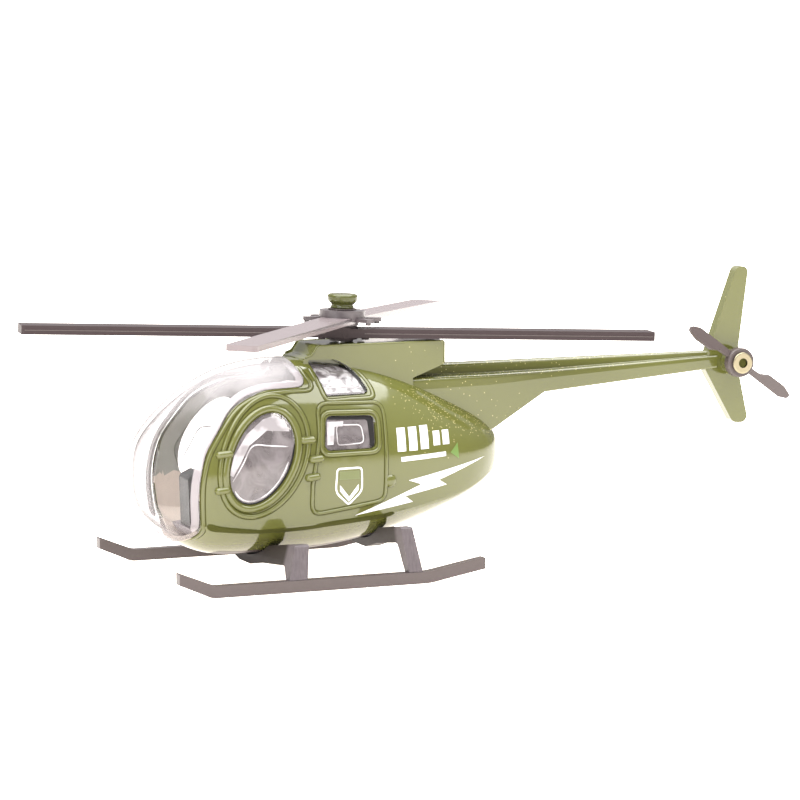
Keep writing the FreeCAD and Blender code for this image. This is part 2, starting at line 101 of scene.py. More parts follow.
def map_range(tree, value, low, high, to_low, to_high):
    """The value carried from one range to another, held inside the second."""
    node = add(tree, "ShaderNodeMapRange")
    node.inputs["From Min"].default_value = low
    node.inputs["From Max"].default_value = high
    node.inputs["To Min"].default_value = to_low
    node.inputs["To Max"].default_value = to_high
    tree.links.new(value, node.inputs["Value"])
    return node.outputs[0]


def noise(tree, vector, scale, detail=2.0, distortion=0.0):
    """Soft noise with the given number of waves per metre."""
    node = add(tree, "ShaderNodeTexNoise")
    node.inputs["Scale"].default_value = scale
    node.inputs["Detail"].default_value = detail
    node.inputs["Distortion"].default_value = distortion
    tree.links.new(vector, node.inputs["Vector"])
    return node.outputs[0]


def bump(tree, shader, height, strength, distance):
    """Relief from a height texture; distance is in metres."""
    node = add(tree, "ShaderNodeBump")
    node.inputs["Strength"].default_value = strength
    node.inputs["Distance"].default_value = distance
    tree.links.new(height, node.inputs["Height"])
    tree.links.new(node.outputs[0], shader.inputs["Normal"])


def clouded(tree, shader, texture, low, high, dull, bright):
    """Base colour that drifts between two tones with a noise texture."""
    share = map_range(tree, texture, low, high, 0.0, 1.0)
    tree.links.new(mix_colour(tree, share, dull, bright), shader.inputs["Base Color"])


def alpha_by_side(tree, shader, front, back):
    """How solid a surface is from its front and from behind."""
    geometry = add(tree, "ShaderNodeNewGeometry")
    alpha = map_range(tree, geometry.outputs["Backfacing"], 0.0, 1.0, front, back)
    tree.links.new(alpha, shader.inputs["Alpha"])


def turned_away(tree, power):
    """How far the surface turns away from the eye, raised to a power."""
    facing = add(tree, "ShaderNodeLayerWeight")
    facing.inputs["Blend"].default_value = 0.5
    return math_node(tree, "POWER", facing.outputs["Facing"], power)


ENAMEL = (0.076, 0.079, 0.0185, 1.0)
FLAKE = (0.36, 0.315, 0.14, 1.0)
# Painted highlight: the paler tone that the boom's upward faces drift to, for the sheen they catch.
BOOM_TOP_SHEEN = (0.098, 0.099, 0.046, 1.0)
FLAKE_CELLS_PER_METRE = 3000.0
FLAKE_SIZE = 0.30


def flake_mask(tree, vector, along, high, upward):
    """Where gold flakes lie: thickest on the upper rear of the cabin, hardly any near the fins.

    Places are in metres in the part's frame; upward is the height of the unit normal.
    """
    cells = add(tree, "ShaderNodeTexVoronoi", feature="F1")
    cells.inputs["Scale"].default_value = FLAKE_CELLS_PER_METRE
    tree.links.new(vector, cells.inputs["Vector"])
    dots = math_node(tree, "LESS_THAN", cells.outputs["Distance"], FLAKE_SIZE)
    draw = add(tree, "ShaderNodeSeparateColor")
    tree.links.new(cells.outputs["Color"], draw.inputs[0])
    behind_doors = map_range(tree, along, 0.012, 0.000, 0.0, 1.0)
    before_fins = map_range(tree, along, -0.050, -0.024, 0.04, 1.0)
    above_belly = map_range(tree, high, 0.018, 0.030, 0.10, 1.0)
    facing_up = map_range(tree, upward, 0.25, 0.70, 0.030, 0.45)
    share = math_node(tree, "MULTIPLY", behind_doors, facing_up)
    share = math_node(tree, "MULTIPLY", share, above_belly)
    share = math_node(tree, "MULTIPLY", share, before_fins)
    chosen = math_node(tree, "LESS_THAN", draw.outputs[0], share)
    return math_node(tree, "MULTIPLY", dots, chosen)


def enamel_material(name, colour, gloss):
    """Glossy olive enamel with fine gold flake, and a painted highlight that makes the top of the boom paler.
    """
    material, tree, shader = new_material(name)
    vector, axes = object_position(tree)
    normal = add(tree, "ShaderNodeSeparateXYZ")
    coords = add(tree, "ShaderNodeTexCoord")
    tree.links.new(coords.outputs["Normal"], normal.inputs[0])
    upward = normal.outputs[2]
    on_top = map_range(tree, upward, 0.15, 0.45, 0.0, 1.0)
    on_boom = map_range(tree, axes[0], -0.008, -0.022, 0.0, 1.0)
    # The boom's upward faces are mixed towards a paler tone: a painted highlight.
    base = mix_colour(tree, math_node(tree, "MULTIPLY", on_top, on_boom), colour, BOOM_TOP_SHEEN)
    flakes = flake_mask(tree, vector, axes[0], axes[2], upward)
    tree.links.new(mix_colour(tree, flakes, base, FLAKE), shader.inputs["Base Color"])
    shader.inputs["Roughness"].default_value = 0.10
    shader.inputs["Specular IOR Level"].default_value = gloss
    return material


def shade(colour, share):
    """The colour at a share of its brightness."""
    return tuple(channel * share for channel in colour[:3]) + (1.0,)


def plastic_material(name, colour, roughness, grain=0.0, gloss=0.5):
    """Plain moulded plastic, slightly uneven in tone; grain is the strength of its relief."""
    material, tree, shader = new_material(name)
    vector, _ = object_position(tree)
    patches = noise(tree, vector, 900.0, 3.0)
    base = mix_colour(tree, patches, shade(colour, 0.86), colour)
    tree.links.new(base, shader.inputs["Base Color"])
    shader.inputs["Roughness"].default_value = roughness
    shader.inputs["Specular IOR Level"].default_value = gloss
    if grain > 0:
        bump(tree, shader, noise(tree, vector, 4200.0), grain, 0.00004)
    return material


def gear_material():
    """Dark plastic with long streaks; the beams are painted much darker than the struts, as painted shade
    under the body.
    """
    material, tree, shader = new_material("gear_plastic")
    vector, axes = object_position(tree)
    drawn_out = add(tree, "ShaderNodeMapping")
    drawn_out.inputs["Scale"].default_value = (1.0, 1.0, 0.12)
    tree.links.new(vector, drawn_out.inputs["Vector"])
    streaks = noise(tree, drawn_out.outputs[0], 2600.0, 3.0)
    strut = mix_colour(tree, streaks, (0.048, 0.040, 0.043, 1.0), (0.100, 0.084, 0.089, 1.0))
    # Painted shade: the beams under the body get a much darker colour for the shadow they sit in.
    beam_shade = (0.011, 0.007, 0.006, 1.0)
    outward = math_node(tree, "ABSOLUTE", axes[1])
    on_strut = map_range(tree, outward, 0.0185, 0.0200, 0.0, 1.0)
    tree.links.new(mix_colour(tree, on_strut, beam_shade, strut), shader.inputs["Base Color"])
    shader.inputs["Roughness"].default_value = 0.5
    shader.inputs["Specular IOR Level"].default_value = 0.25
    return material


def pane_material():
    """Side window: clear plastic with a faint cloudy sheen, see-through from inside."""
    material, tree, shader = new_material("window_pane")
    vector, _ = object_position(tree)
    clouds = noise(tree, vector, 260.0, 4.0, 1.2)
    clouded(tree, shader, clouds, 0.35, 0.68, (0.078, 0.067, 0.069, 1.0), (0.150, 0.134, 0.138, 1.0))
    alpha_by_side(tree, shader, 0.82, 0.08)
    shader.inputs["Roughness"].default_value = 0.08
    bump(tree, shader, clouds, 0.12, 0.0002)
    return material


def wrinkled_highlight_material():
    """Painted highlight on clear plastic: light, with soft bright wrinkles of painted reflection."""
    material, tree, shader = new_material("roof_pane_highlight")
    vector, _ = object_position(tree)
    wrinkles = noise(tree, vector, 330.0, 3.0, 2.2)
    clouded(tree, shader, wrinkles, 0.38, 0.58, (0.075, 0.065, 0.067, 1.0), (0.27, 0.255, 0.26, 1.0))
    shader.inputs["Roughness"].default_value = 0.15
    return material


def highlight_material(name, one_sided):
    """Painted highlight on a pane: an uneven bright sheen where its edge would catch the light; one_sided
    hides it from inside the cabin.
    """
    material, tree, shader = new_material(name)
    vector, _ = object_position(tree)
    sheen = noise(tree, vector, 300.0)
    clouded(tree, shader, sheen, 0.38, 0.56, (0.215, 0.198, 0.205, 1.0), (0.42, 0.40, 0.41, 1.0))
    if one_sided:
        alpha_by_side(tree, shader, 1.0, 0.0)
    shader.inputs["Roughness"].default_value = 0.20
    return material


def windscreen_material():
    """Clear plastic, darker at its rim, with a painted reflection that makes the top of the bubble whiter and
    more solid.
    """
    material, tree, shader = new_material("windscreen_plastic")
    vector, axes = object_position(tree)
    ripple = math_node(tree, "MULTIPLY", noise(tree, vector, 240.0), 0.006)
    height = math_node(tree, "ADD", axes[2], ripple)
    edge = map_range(tree, turned_away(tree, 2.5), 0.0, 1.0, 0.04, 1.0)
    # Painted reflection: the upper bubble is made more solid and whiter, standing in for light reflected off
    # it.
    top_reflection = map_range(tree, height, 0.036, 0.043, 0.0, 0.42)
    tree.links.new(math_node(tree, "MAXIMUM", edge, top_reflection), shader.inputs["Alpha"])
    top_reflection_share = map_range(tree, height, 0.034, 0.040, 0.0, 1.0)
    tint = mix_colour(tree, top_reflection_share, (0.10, 0.086, 0.090, 1.0), (0.36, 0.34, 0.345, 1.0))
    rimmed = mix_colour(tree, turned_away(tree, 4.0), tint, (0.085, 0.068, 0.070, 1.0))
    tree.links.new(rimmed, shader.inputs["Base Color"])
    shader.inputs["Roughness"].default_value = 0.30
    shader.inputs["Specular IOR Level"].default_value = 0.15
    bump(tree, shader, noise(tree, vector, 160.0, 1.0), 0.10, 0.0002)
    return material


def clear_material(name, tint, roughness, least, most):
    """Clear plastic: most see-through face on, more solid towards its edges."""
    material, tree, shader = new_material(name)
    vector, _ = object_position(tree)
    alpha = map_range(tree, turned_away(tree, 2.5), 0.0, 1.0, least, most)
    tree.links.new(alpha, shader.inputs["Alpha"])
    shader.inputs["Base Color"].default_value = tint
    shader.inputs["Roughness"].default_value = roughness
    shader.inputs["Specular IOR Level"].default_value = 0.3
    bump(tree, shader, noise(tree, vector, 160.0, 1.0), 0.10, 0.0002)
    return material


def metal_material(name, colour, roughness):
    """Bare metal with faint relief."""
    material, tree, shader = new_material(name)
    vector, _ = object_position(tree)
    shader.inputs["Base Color"].default_value = colour
    shader.inputs["Metallic"].default_value = 1.0
    shader.inputs["Roughness"].default_value = roughness
    bump(tree, shader, noise(tree, vector, 1500.0), 0.08, 0.00003)
    return material


def paint_material(name, colour):
    """Flat printed ink."""
    material, tree, shader = new_material(name)
    vector, _ = object_position(tree)
    worn = noise(tree, vector, 700.0)
    base = mix_colour(tree, worn, shade(colour, 0.94), colour)
    tree.links.new(base, shader.inputs["Base Color"])
    shader.inputs["Roughness"].default_value = 0.35
    return material


MAT = {
    "enamel": enamel_material("green_enamel", ENAMEL, gloss=0.5),
    "knob": enamel_material("knob_enamel", (0.050, 0.053, 0.013, 1.0), gloss=0.35),
    # Painted shade: darker, dull enamel for the bead edges, the crease and the peg's end.
    "line": plastic_material("enamel_groove_shade", (0.046, 0.047, 0.011, 1.0), 0.8, gloss=0.05),
    "inner": plastic_material("inner_wall", (0.33, 0.33, 0.295, 1.0), 0.5),
    "dark": plastic_material("dark_plastic", (0.058, 0.044, 0.042, 1.0), 0.40, grain=0.15, gloss=0.4),
    "gear": gear_material(),
    "bubble": windscreen_material(),
    # Painted reflection for the roof pane.
    "crumpled": wrinkled_highlight_material(),
    "hub": plastic_material("hub_plastic", (0.062, 0.050, 0.053, 1.0), 0.35, grain=0.6, gloss=0.6),
    "clear": clear_material("clear_plastic", (0.075, 0.064, 0.067, 1.0), 0.05, least=0.04, most=0.80),
    "pane": pane_material(),
    # Painted highlight: near-white, mostly solid clear plastic for the glare along the windscreen's flange.
    "flange": clear_material("windscreen_flange_glare", (0.34, 0.31, 0.32, 1.0), 0.15, least=0.62, most=0.9),
    "seat": plastic_material("seat_plastic", (0.24, 0.215, 0.22, 1.0), 0.55, grain=0.1),
    "bar": plastic_material("rotor_bar_plastic", (0.030, 0.020, 0.021, 1.0), 0.5, grain=0.15, gloss=0.2),
    "blade": plastic_material("blade_plastic", (0.145, 0.118, 0.121, 1.0), 0.25, grain=0.05),
    "panel": plastic_material("panel_plastic", (0.05, 0.05, 0.05, 1.0), 0.5),
    "steel": metal_material("steel", (0.62, 0.61, 0.60, 1.0), 0.25),
    "brass": metal_material("brass", (0.25, 0.22, 0.145, 1.0), 0.30),
    "white": paint_material("white_ink", (0.62, 0.61, 0.61, 1.0)),
    "lime": paint_material("lime_ink", (0.078, 0.140, 0.022, 1.0)),
    "faint": paint_material("faint_lime_ink", (0.090, 0.104, 0.030, 1.0)),
    "low": plastic_material("inner_wall_low", (0.62, 0.53, 0.46, 1.0), 0.5),
    # Painted highlights: bright lines on the panes, and bright patches on their bevels.
    "glint": highlight_material("pane_ridge_highlight", one_sided=False),
    "bevel": highlight_material("pane_bevel_highlight", one_sided=True),
    # Painted shade: near-black for the shadowed gaps between the panes and the casting.
    "gap": plastic_material("window_gap_shade", (0.010, 0.009, 0.009, 1.0), 0.5, gloss=0.2),
}

NODE_LOOK = {
    "body_casting": "enamel",
    "windscreen": "bubble",
    "left_window_insert": "pane",
    "right_window_insert": "pane",
    "belly_plate": "dark",
    "belly_screws": "steel",
    "front_cross_member": "gear",
    "rear_cross_member": "gear",
    "left_skid": "dark",
    "right_skid": "dark",
    "interior_floor": "seat",
    "pilot_seat": "seat",
    "copilot_seat": "seat",
    "rear_bench": "seat",
    "instrument_panel": "panel",
    "mast_pin": "steel",
    "push_nut": "steel",
    "lower_washer": "dark",
    "lower_rotor": "bar",
    "upper_rotor": "blade",
    "upper_washer": "dark",
    "mast_knob": "knob",
    "tail_rotor": "dark",
    "tail_rivet": "brass",
}
for node_name, look in NODE_LOOK.items():
    mesh = NODES[node_name].data
    mesh.materials.clear()
    mesh.materials.append(MAT[look])


def mast_place(polygon):
    """Middle of a face in mast millimetres."""
    x, y, z = polygon.center / MM
    return x - SHIFT_X, y, z


UPPER_HEADING = math.radians(50.6)
LOWER_HEADING = math.radians(-10.4)
DRUM_REACH = 4.9
HALF_BLADE = 3.2


def darken_hub():
    """The drum and links of the upper rotor are darker than its blades."""
    mesh = NODES["upper_rotor"].data
    mesh.materials.append(MAT["hub"])
    for polygon in mesh.polygons:
        x, y, _ = mast_place(polygon)
        aside = abs(y * math.cos(UPPER_HEADING) - x * math.sin(UPPER_HEADING))
        if math.hypot(x, y) < DRUM_REACH or aside > HALF_BLADE:
            polygon.material_index = 1


darken_hub()


TAIL_AXIS = (-87.0, 37.9)
PEG_RADIUS = 1.0
PEG_START_Y = 3.0
CABIN_MIDDLE_Z = 24.0
WALL_REAR_X, WALL_FRONT_X = -11.0, 36.0
WALL_TOP_Z = 42.5
LOW_WALL_Z = 19.0


def paint_inner_wall():
    """The inside of the casting is bare metal, lighter low down; the end of the tail rotor's peg is painted
    dark, as painted shade inside the rivet.
    """
    mesh = NODES["body_casting"].data
    mesh.materials.append(MAT["inner"])
    mesh.materials.append(MAT["low"])
    mesh.materials.append(MAT["line"])
    for polygon in mesh.polygons:
        x, y, z = mast_place(polygon)
        inward = polygon.normal.y * y + polygon.normal.z * (z - CABIN_MIDDLE_Z) < 0
        if inward and WALL_REAR_X < x < WALL_FRONT_X and z < WALL_TOP_Z:
            polygon.material_index = 1 if z > LOW_WALL_Z else 2
        # Painted shade on the peg's end, deep inside the rivet.
        elif y > PEG_START_Y and math.dist((x, z), TAIL_AXIS) < PEG_RADIUS:
            polygon.material_index = 3


paint_inner_wall()


# ---------------------------------------------------------------- shapes on the cabin's skin

def skin_tree():
    """Search tree of the cabin's outer skin: the casting, the windscreen and the panes."""
    vertices = []
    faces = []
    for name in ("body_casting", "windscreen", "left_window_insert", "right_window_insert"):
        source = NODES[name].data
        start = len(vertices)
        vertices += [vertex.co.copy() for vertex in source.vertices]
        faces += [tuple(start + index for index in face.vertices) for face in source.polygons]
    return BVHTree.FromPolygons(vertices, faces)


SKIN = skin_tree()


# The cabin's section curves, as in the CAD: its ends, its widest place, and (x, underside, roof).
NOSE_X, REAR_X, WIDEST_X, HALF_WIDTH = 43.75, -33.6, 12.0, 15.9
NOSE_POWER, REAR_POWER, ROOF_POWER = 3.0, 2.0, 2.3
WIDEST_SHARE, CREASE_SHARE, CREASE_WIDTH_SHARE = 0.41, 0.18, 0.935
STATIONS = [
    (-32.9, 19.1, 25.7), (-29.5, 16.2, 29.1), (-22.0, 12.0, 33.2), (-13.0, 8.6, 37.5), (-3.0, 6.1, 40.8),
    (8.0, 4.6, 42.5), (19.9, 4.4, 42.3), (29.8, 5.0, 39.1), (35.2, 7.1, 35.5), (39.1, 9.6, 32.0),
    (41.8, 14.0, 28.6), (43.2, 19.6, 26.1),
]


def underside_and_roof(x):
    """Heights of the cabin's underside and roof at a place along it."""
    for first, second in zip(STATIONS, STATIONS[1:]):
        if x <= second[0]:
            break
    part = max(0.0, min(1.0, (x - first[0]) / (second[0] - first[0])))
    return [a + (b - a) * part for a, b in zip(first[1:], second[1:])]


def egg_half_width(x, z):
    """Distance of the cabin's outer skin from the centre plane, from its section curves."""
    low, high = underside_and_roof(x)
    if x >= WIDEST_X:
        along, power = (x - WIDEST_X) / (NOSE_X - WIDEST_X), NOSE_POWER
    else:
        along, power = (WIDEST_X - x) / (WIDEST_X - REAR_X), REAR_POWER
    width = HALF_WIDTH * (1 - min(along, 0.995) ** power) ** (1 / power)
    wide_z = low + WIDEST_SHARE * (high - low)
    crease_z = low + CREASE_SHARE * (high - low)
    crease = width * CREASE_WIDTH_SHARE
    if z >= wide_z:
        rise = min((z - wide_z) / (high - wide_z), 0.999)
        return width * (1 - rise ** ROOF_POWER) ** (1 / ROOF_POWER)
    if z >= crease_z:
        return width - (width - crease) * ((wide_z - z) / (wide_z - crease_z)) ** 2
    drop = min((crease_z - z) / (crease_z - low), 0.999)
    return crease * math.sqrt(1 - drop)


def skin_direction(x, z, side):
    """Outward direction of the cabin's skin, from its section curves."""
    nudge = 0.3
    slope_x = (egg_half_width(x + nudge, z) - egg_half_width(x - nudge, z)) / (2 * nudge)
    slope_z = (egg_half_width(x, z + nudge) - egg_half_width(x, z - nudge)) / (2 * nudge)
    return Vector((-slope_x, side, -slope_z)).normalized()


STRIP_DEPTH = 1.45
OUTWARD = 0.7


def clear_strips():
    """The strip that joins the panes, their edges and their inner faces are clearer than their fronts."""
    for name in ("left_window_insert", "right_window_insert"):
        mesh = NODES[name].data
        mesh.materials.append(MAT["clear"])
        for polygon in mesh.polygons:
            x, y, z = mast_place(polygon)
            outward = polygon.normal.dot(skin_direction(x, z, math.copysign(1, y))) > OUTWARD
            if not outward or egg_half_width(x, z) - abs(y) > STRIP_DEPTH:
                polygon.material_index = 1


clear_strips()


FAR_OUT = 60.0
SKIN_TOLERANCE = 0.9
SKIN_SETBACK = 0.35


def on_skin(x, z, side):
    """Point and outward normal of the skin where a line along Y at (x, z) meets it.

    Where the line misses the skin or slips through an opening, the section curves are used.
    """
    across = egg_half_width(x, z)
    hit, normal, _, _ = SKIN.ray_cast(place(x, FAR_OUT * side, z), Vector((0, -side, 0)))
    if hit is None or abs(hit.y * side / MM - across) > SKIN_TOLERANCE:
        normal = skin_direction(x, z, side)
        hit = place(x, (across - SKIN_SETBACK) * side, z)
    if normal.y * side < 0:
        normal = -normal
    return hit, normal


PATH_STEP = 0.35


def smooth_path(points, step=PATH_STEP):
    """Points along an open rounded curve through the given 2-D points, about step apart."""
    result = []
    for index in range(len(points) - 1):
        p1, p2 = points[index], points[index + 1]
        p0 = points[index - 1] if index > 0 else p1
        p3 = points[index + 2] if index + 2 < len(points) else p2
        pieces = max(1, round(math.dist(p1, p2) / step))
        for piece in range(pieces):
            t = piece / pieces
            result.append(tuple(
                0.5 * (2 * b + (c - a) * t + (2 * a - 5 * b + 4 * c - d) * t * t
                       + (3 * b - 3 * c + d - a) * t ** 3)
                for a, b, c, d in zip(p0, p1, p2, p3)
            ))
    result.append(tuple(points[-1]))
    return result


def rounded_path(corners, step=PATH_STEP):
    """Closed path through (x, z, radius) corners, with each corner rounded."""
    path = []
    count = len(corners)
    for index in range(count):
        before = Vector(corners[index - 1][:2])
        corner = Vector(corners[index][:2])
        after = Vector(corners[(index + 1) % count][:2])
        radius = corners[index][2]
        back = (before - corner).normalized()
        ahead = (after - corner).normalized()
        half = math.acos(max(-1.0, min(1.0, back.dot(ahead)))) / 2
        reach = radius / math.tan(half)
        start = corner + back * reach
        end = corner + ahead * reach
        turns = max(3, round(radius * (math.pi - 2 * half) / step))
        for turn in range(turns + 1):
            t = turn / turns
            first = start.lerp(corner, t)
            second = corner.lerp(end, t)
            path.append(tuple(first.lerp(second, t)))
    dense = []
    for index, point in enumerate(path):
        following = path[(index + 1) % len(path)]
        length = math.dist(point, following)
        if length < 1e-4:
            continue
        pieces = max(1, round(length / step))
        for piece in range(pieces):
            dense.append(tuple(a + (b - a) * piece / pieces for a, b in zip(point, following)))
    return dense


def softened(vectors, closed, rounds):
    """Each vector averaged with its neighbours along the path."""
    count = len(vectors)
    for _ in range(rounds):
        result = []
        for index in range(count):
            if closed:
                before, after = vectors[index - 1], vectors[(index + 1) % count]
            else:
                before, after = vectors[max(index - 1, 0)], vectors[min(index + 1, count - 1)]
            result.append((before + vectors[index] * 2 + after) / 4)
        vectors = result
    return vectors


def mesh_object(name, vertices, faces, material, body=ROOT, smooth=True):
    """A piece made of the given vertices (metres) and faces, riding on a body."""
    mesh = bpy.data.meshes.new(name)
    mesh.from_pydata([tuple(vertex) for vertex in vertices], [], faces)
    mesh.materials.append(MAT[material])
    for polygon in mesh.polygons:
        polygon.use_smooth = smooth
    mesh.update()
    made = bpy.data.objects.new(name, mesh)
    bpy.context.scene.collection.objects.link(made)
    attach(made, body)


def side_piece(name, side, vertices, faces, material):
    """A piece on one side of the cabin, named after the side."""
    mesh_object(f"{name}_{SIDE_NAMES[side]}", vertices, faces, material)


# How many path points an open ridge takes to reach its full size.
END_TAPER = 4


def swept_ridge(points, normals, closed, width, height, sink):
    """Vertices and faces of a half-round ridge along a path on the skin (metres in, sizes in mm)."""
    arcs = 8
    vertices = []
    faces = []
    count = len(points)
    for index in range(count):
        if closed:
            tangent = points[(index + 1) % count] - points[index - 1]
        else:
            tangent = points[min(index + 1, count - 1)] - points[max(index - 1, 0)]
        normal = normals[index].normalized()
        across = normal.cross(tangent).normalized()
        taper = 1.0
        if not closed:
            from_end = min(index, count - 1 - index)
            taper = max(0.05, min(1.0, math.sqrt(from_end / END_TAPER)))
        for arc in range(arcs + 1):
            angle = math.pi * arc / arcs
            aside = across * (math.cos(angle) * width / 2 * taper * MM)
            up = normal * ((math.sin(angle) * height * taper - sink) * MM)
            vertices.append(points[index] + aside + up)
    ring = arcs + 1
    for index in range(count if closed else count - 1):
        following = (index + 1) % count
        for arc in range(arcs):
            a = index * ring + arc
            b = following * ring + arc
            faces.append((a, b, b + 1, a + 1))
        faces.append((index * ring, index * ring + arcs, following * ring + arcs, following * ring))
    return vertices, faces


def ridge(name, path, closed, width, height, material="enamel", sink=0.06):
    """A raised bead along a side-view path, on both sides of the cabin."""
    for side in BOTH_SIDES:
        hits = [on_skin(x, z, side) for x, z in path]
        points = softened([hit for hit, _ in hits], closed, 2)
        normals = softened([normal for _, normal in hits], closed, 8)
        vertices, faces = swept_ridge(points, normals, closed, width, height, sink)
        side_piece(name, side, vertices, faces, material)


def inside(point, outline):
    """Even-odd test of a 2-D point against a closed outline."""
    within = False
    for (x0, z0), (x1, z1) in zip(outline, outline[1:] + outline[:1]):
        if (z0 > point[1]) != (z1 > point[1]):
            if point[0] < x0 + (point[1] - z0) * (x1 - x0) / (z1 - z0):
                within = not within
    return within


KEPT_FROM_BORDER = 0.45


def filled(outline, step):
    """2-D points and triangles that fill a closed outline."""
    border = []
    for start, end in zip(outline, outline[1:] + outline[:1]):
        pieces = max(1, round(math.dist(start, end) / step))
        border += [tuple(a + (b - a) * k / pieces for a, b in zip(start, end)) for k in range(pieces)]
    points = list(border)
    xs, zs = [p[0] for p in outline], [p[1] for p in outline]
    for column in range(int((max(xs) - min(xs)) / step) + 1):
        for row in range(int((max(zs) - min(zs)) / step) + 1):
            point = (min(xs) + (column + 0.5) * step, min(zs) + (row + 0.5) * step)
            to_border = min(math.dist(point, b) for b in border)
            if inside(point, outline) and to_border > step * KEPT_FROM_BORDER:
                points.append(point)
    rim = [(index, (index + 1) % len(border)) for index in range(len(border))]
    result = delaunay_2d_cdt([Vector(point) for point in points], rim, [], 1, 1e-5)
    return result[0], result[2]


PATCH_STEP = 0.5


def patch(name, outline, material, lift=0.035):
    """A flat mark on both sides of the cabin: a side-view polygon laid on the skin."""
    points, triangles = filled(outline, PATCH_STEP)
    for side in BOTH_SIDES:
        vertices = []
        for x, z in points:
            hit, normal = on_skin(x, z, side)
            vertices.append(hit + normal * (lift * MM))
        faces = [tuple(face) if side < 0 else tuple(reversed(face)) for face in triangles]
        side_piece(name, side, vertices, faces, material)


PAD_SINK = 0.1


def pad(name, x, z, length, width, height, tilt=0.0):
    """A small raised pill, such as a hinge, on both sides; tilt in degrees from the X axis."""
    rounds = 20
    rows = 6
    for side in BOTH_SIDES:
        hit, normal = on_skin(x, z, side)
        along = Vector((math.cos(math.radians(tilt)), 0, math.sin(math.radians(tilt))))
        along = (along - normal * along.dot(normal)).normalized()
        across = normal.cross(along)
        vertices = []
        faces = []
        for row in range(rows + 1):
            rise = math.sin(math.pi / 2 * row / rows)
            radius = width / 2 * max(math.cos(math.pi / 2 * row / rows), 0.02)
            for turn in range(rounds):
                angle = 2 * math.pi * turn / rounds
                straight = (length - width) / 2 * (1 if math.cos(angle) >= 0 else -1)
                u = straight + radius * math.cos(angle)
                v = radius * math.sin(angle)
                up = normal * ((height * rise - PAD_SINK) * MM)
                vertices.append(hit + along * (u * MM) + across * (v * MM) + up)
        for row in range(rows):
            for turn in range(rounds):
                following = (turn + 1) % rounds
                a, b = row * rounds + turn, row * rounds + following
                faces.append((a, b, b + rounds, a + rounds))
        faces.append(tuple(rows * rounds + turn for turn in range(rounds)))
        side_piece(name, side, vertices, faces, "enamel")


GROOVE_WIDTH = 0.22
LINE_HEIGHT = 0.13
LINE_SINK = 0.05


def drawn_line(name, path, closed, width, material):
    """A line of ink or a shallow groove along a side-view path, on both sides of the cabin."""
    ridge(name, path, closed, width, LINE_HEIGHT, material, LINE_SINK)


def bead(name, path, closed, width, height):
    """A raised bead with a dark strip along both of its edges: painted shade where the bead meets the skin.
    """
    drawn_line(f"{name}_groove", path, closed, width + GROOVE_WIDTH * 2, "line")
    ridge(name, path, closed, width, height)


def tube(name, points, radius, material):
    """A round edge bead through 3-D points in mast millimetres."""
    points = [place(*point) for point in points]
    arcs = 8
    vertices = []
    faces = []
    for index, point in enumerate(points):
        tangent = points[min(index + 1, len(points) - 1)] - points[max(index - 1, 0)]
        side = tangent.cross(Vector((0, 1, 0)))
        if side.length < 1e-9:
            side = tangent.cross(Vector((0, 0, 1)))
        side.normalize()
        other = tangent.cross(side).normalized()
        for arc in range(arcs):
            angle = 2 * math.pi * arc / arcs
            vertices.append(point + (side * math.cos(angle) + other * math.sin(angle)) * (radius * MM))
    for index in range(len(points) - 1):
        for arc in range(arcs):
            a, b = index * arcs + arc, index * arcs + (arc + 1) % arcs
            faces.append((a, b, b + arcs, a + arcs))
    faces.append(tuple(range(arcs - 1, -1, -1)))
    faces.append(tuple((len(points) - 1) * arcs + arc for arc in range(arcs)))
    mesh_object(name, vertices, faces, material)


def ellipse_path(centre, long, short, tilt):
    """Leaning oval: its long axis tilts rearward from the vertical."""
    lean = math.radians(tilt)
    up = (-math.sin(lean), math.cos(lean))
    over = (math.cos(lean), math.sin(lean))
    count = round(math.pi * (long + short) / PATH_STEP)
    path = []
    for index in range(count):
        angle = 2 * math.pi * index / count
        a, b = long * math.cos(angle), short * math.sin(angle)
        path.append((centre[0] + up[0] * a + over[0] * b, centre[1] + up[1] * a + over[1] * b))
    return path


# ---------------------------------------------------------------- beads, hinges and grooves

OVAL_CENTRE = (22.7, 24.8)
OVAL_LEAN = 27.0
bead("oval_rim", ellipse_path(OVAL_CENTRE, 10.2, 6.6, OVAL_LEAN), True, 1.35, 0.55)
bead("door_ring", ellipse_path((22.2, 25.2), 12.1, 8.1, 25.7), True, 0.95, 0.45)

REAR_DOOR = [
    (10.6, 34.9, 2.2), (-3.6, 34.4, 2.2), (-3.2, 15.4, 2.0), (12.6, 13.4, 2.0),
    (12.6, 19.5, 6.0), (10.9, 29.0, 6.0),
]
bead("rear_door_bead", rounded_path(REAR_DOOR), True, 0.7, 0.42)
REAR_PANE = [(9.9, 33.2, 1.9), (-2.2, 32.8, 1.9), (-2.0, 25.0, 1.9), (10.8, 25.0, 1.9)]
bead("rear_window_rim", rounded_path(REAR_PANE), True, 0.85, 0.42)

# Hinges of the front and rear doors: x, z, length and tilt.
HINGE_WIDTH, HINGE_HEIGHT = 1.65, 1.1
HINGES = [
    (30.2, 26.0, 3.6, -4.0), (30.8, 19.1, 3.2, -6.0), (13.4, 28.1, 3.4, -2.0),
    (11.8, 24.4, 3.3, -4.0), (12.6, 20.9, 3.3, -6.0),
]
for index, (x, z, length, tilt) in enumerate(HINGES):
    pad(f"hinge_{index}", x, z, length, HINGE_WIDTH, HINGE_HEIGHT, tilt)
pad("latch_boss", -4.3, 19.1, 2.7, 2.6, 0.7)

